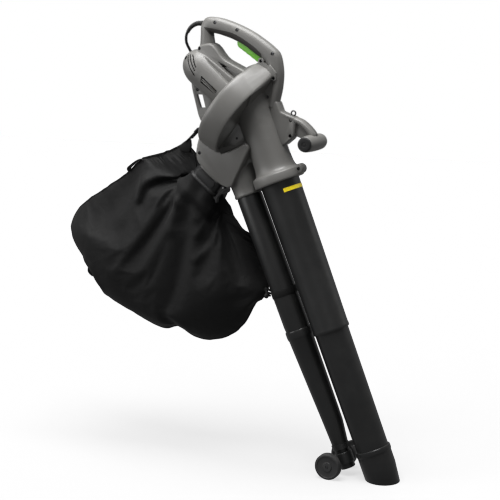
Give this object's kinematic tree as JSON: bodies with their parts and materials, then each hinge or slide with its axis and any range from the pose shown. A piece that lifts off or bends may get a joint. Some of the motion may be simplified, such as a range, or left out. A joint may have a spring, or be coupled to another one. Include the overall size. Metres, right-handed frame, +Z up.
{
  "type": "leaf blower vacuum",
  "caption": "Electric garden blower vacuum with a looped main grip, twin tubes, a ground mouth on wheels, a front handle and a cloth bag.",
  "frame": {"origin": "middle of the main grip, where the hand holds it", "axes": "+X forward, the way the tubes point over the ground; +Y to the tool's left; +Z up, with the tool leaning back as it is used and its mouth flat on the ground at z = -1.027"},
  "size_m": [0.8906, 0.224, 1.0599],
  "materials": {
    "housing_plastic": "satin grey moulded plastic",
    "grip_rubber": "soft dark insert of the grip",
    "black_plastic": "matte black plastic",
    "tube_plastic": "black tube plastic with a soft sheen",
    "green_plastic": "bright green plastic",
    "yellow_strip": "bright yellow strip",
    "steel": "plated steel",
    "brass": "pressed brass",
    "copper": "copper windings and segments, with brass standing in",
    "bag_fabric": "black woven bag cloth",
    "cord_rubber": "black rubber"
  },
  "bodies": {
    "frame": {"axle": "steel", "bag": "bag_fabric", "bag_collar": "black_plastic", "bag_strap": "bag_fabric", "bag_tie": "black_plastic", "blow_nozzle": "tube_plastic", "blow_tube": "tube_plastic", "duct_screw": "steel", "flange_screw": "steel", "front_bearing": "steel", "front_grip": "housing_plastic", "front_grip_cap": "black_plastic", "front_handle_arm": "housing_plastic", "grip_front_screw": "steel", "grip_insert": "grip_rubber", "grip_middle_screw": "steel", "grip_rear_screw": "steel", "latch_pin": "steel", "left_brush_holder": "brass", "left_carbon_brush": "black_plastic", "left_housing": "housing_plastic", "lower_vacuum_tube": "tube_plastic", "motor_bulkhead": "black_plastic", "motor_stator": "steel", "mouth_collar": "tube_plastic", "plug": "cord_rubber", "post_screw": "steel", "rear_bearing": "steel", "rear_bearing_bracket": "black_plastic", "right_brush_holder": "brass", "right_carbon_brush": "black_plastic", "right_housing": "housing_plastic", "spine_screw": "steel", "strain_relief": "cord_rubber", "strap_eye": "steel", "supply_cord": "cord_rubber", "switch_body": "black_plastic", "trigger_pin": "steel", "tube_clip": "tube_plastic", "upper_vacuum_tube": "tube_plastic", "warning_band": "yellow_strip", "wheel_bracket": "tube_plastic"},
    "rotor": {"motor_shaft": "steel", "armature_core": "copper", "commutator": "copper", "cooling_fan": "black_plastic", "impeller": "black_plastic", "impeller_nut": "steel"},
    "trigger": {"trigger": "green_plastic"},
    "diverter": {"diverter_flap": "black_plastic", "diverter_lever": "black_plastic"},
    "left_wheel": {"left_wheel": "tube_plastic"},
    "right_wheel": {"right_wheel": "tube_plastic"},
    "latch": {"bag_latch": "black_plastic"}
  },
  "joints": [
    {"name": "trigger_pivot", "type": "hinge", "parent": "frame", "child": "trigger", "pos_m": [0.0775, 0, -0.0645], "axis": [0, 1, 0], "range_deg": [0, 7], "stiffness_Nm_per_rad": 0.9, "springref_deg": -14.32},
    {"name": "rotor_spin", "type": "hinge", "parent": "frame", "child": "rotor", "pos_m": [0.047, 0, -0.183], "axis": [-0.809, 0, 0.5878], "continuous": true},
    {"name": "diverter_pivot", "type": "hinge", "parent": "frame", "child": "diverter", "pos_m": [-0.001, 0, -0.347], "axis": [0, -1, 0], "range_deg": [0, 92]},
    {"name": "left_wheel_spin", "type": "hinge", "parent": "frame", "child": "left_wheel", "pos_m": [0.2659, 0.05, -0.99653], "axis": [0, 1, 0], "continuous": true},
    {"name": "right_wheel_spin", "type": "hinge", "parent": "frame", "child": "right_wheel", "pos_m": [0.2659, -0.05, -0.99653], "axis": [0, 1, 0], "continuous": true},
    {"name": "bag_latch_pivot", "type": "hinge", "parent": "frame", "child": "latch", "pos_m": [-0.0099, -0.034, -0.36051], "axis": [0, -1, 0], "range_deg": [0, 24], "stiffness_Nm_per_rad": 0.12, "springref_deg": -28.65}
  ]
}
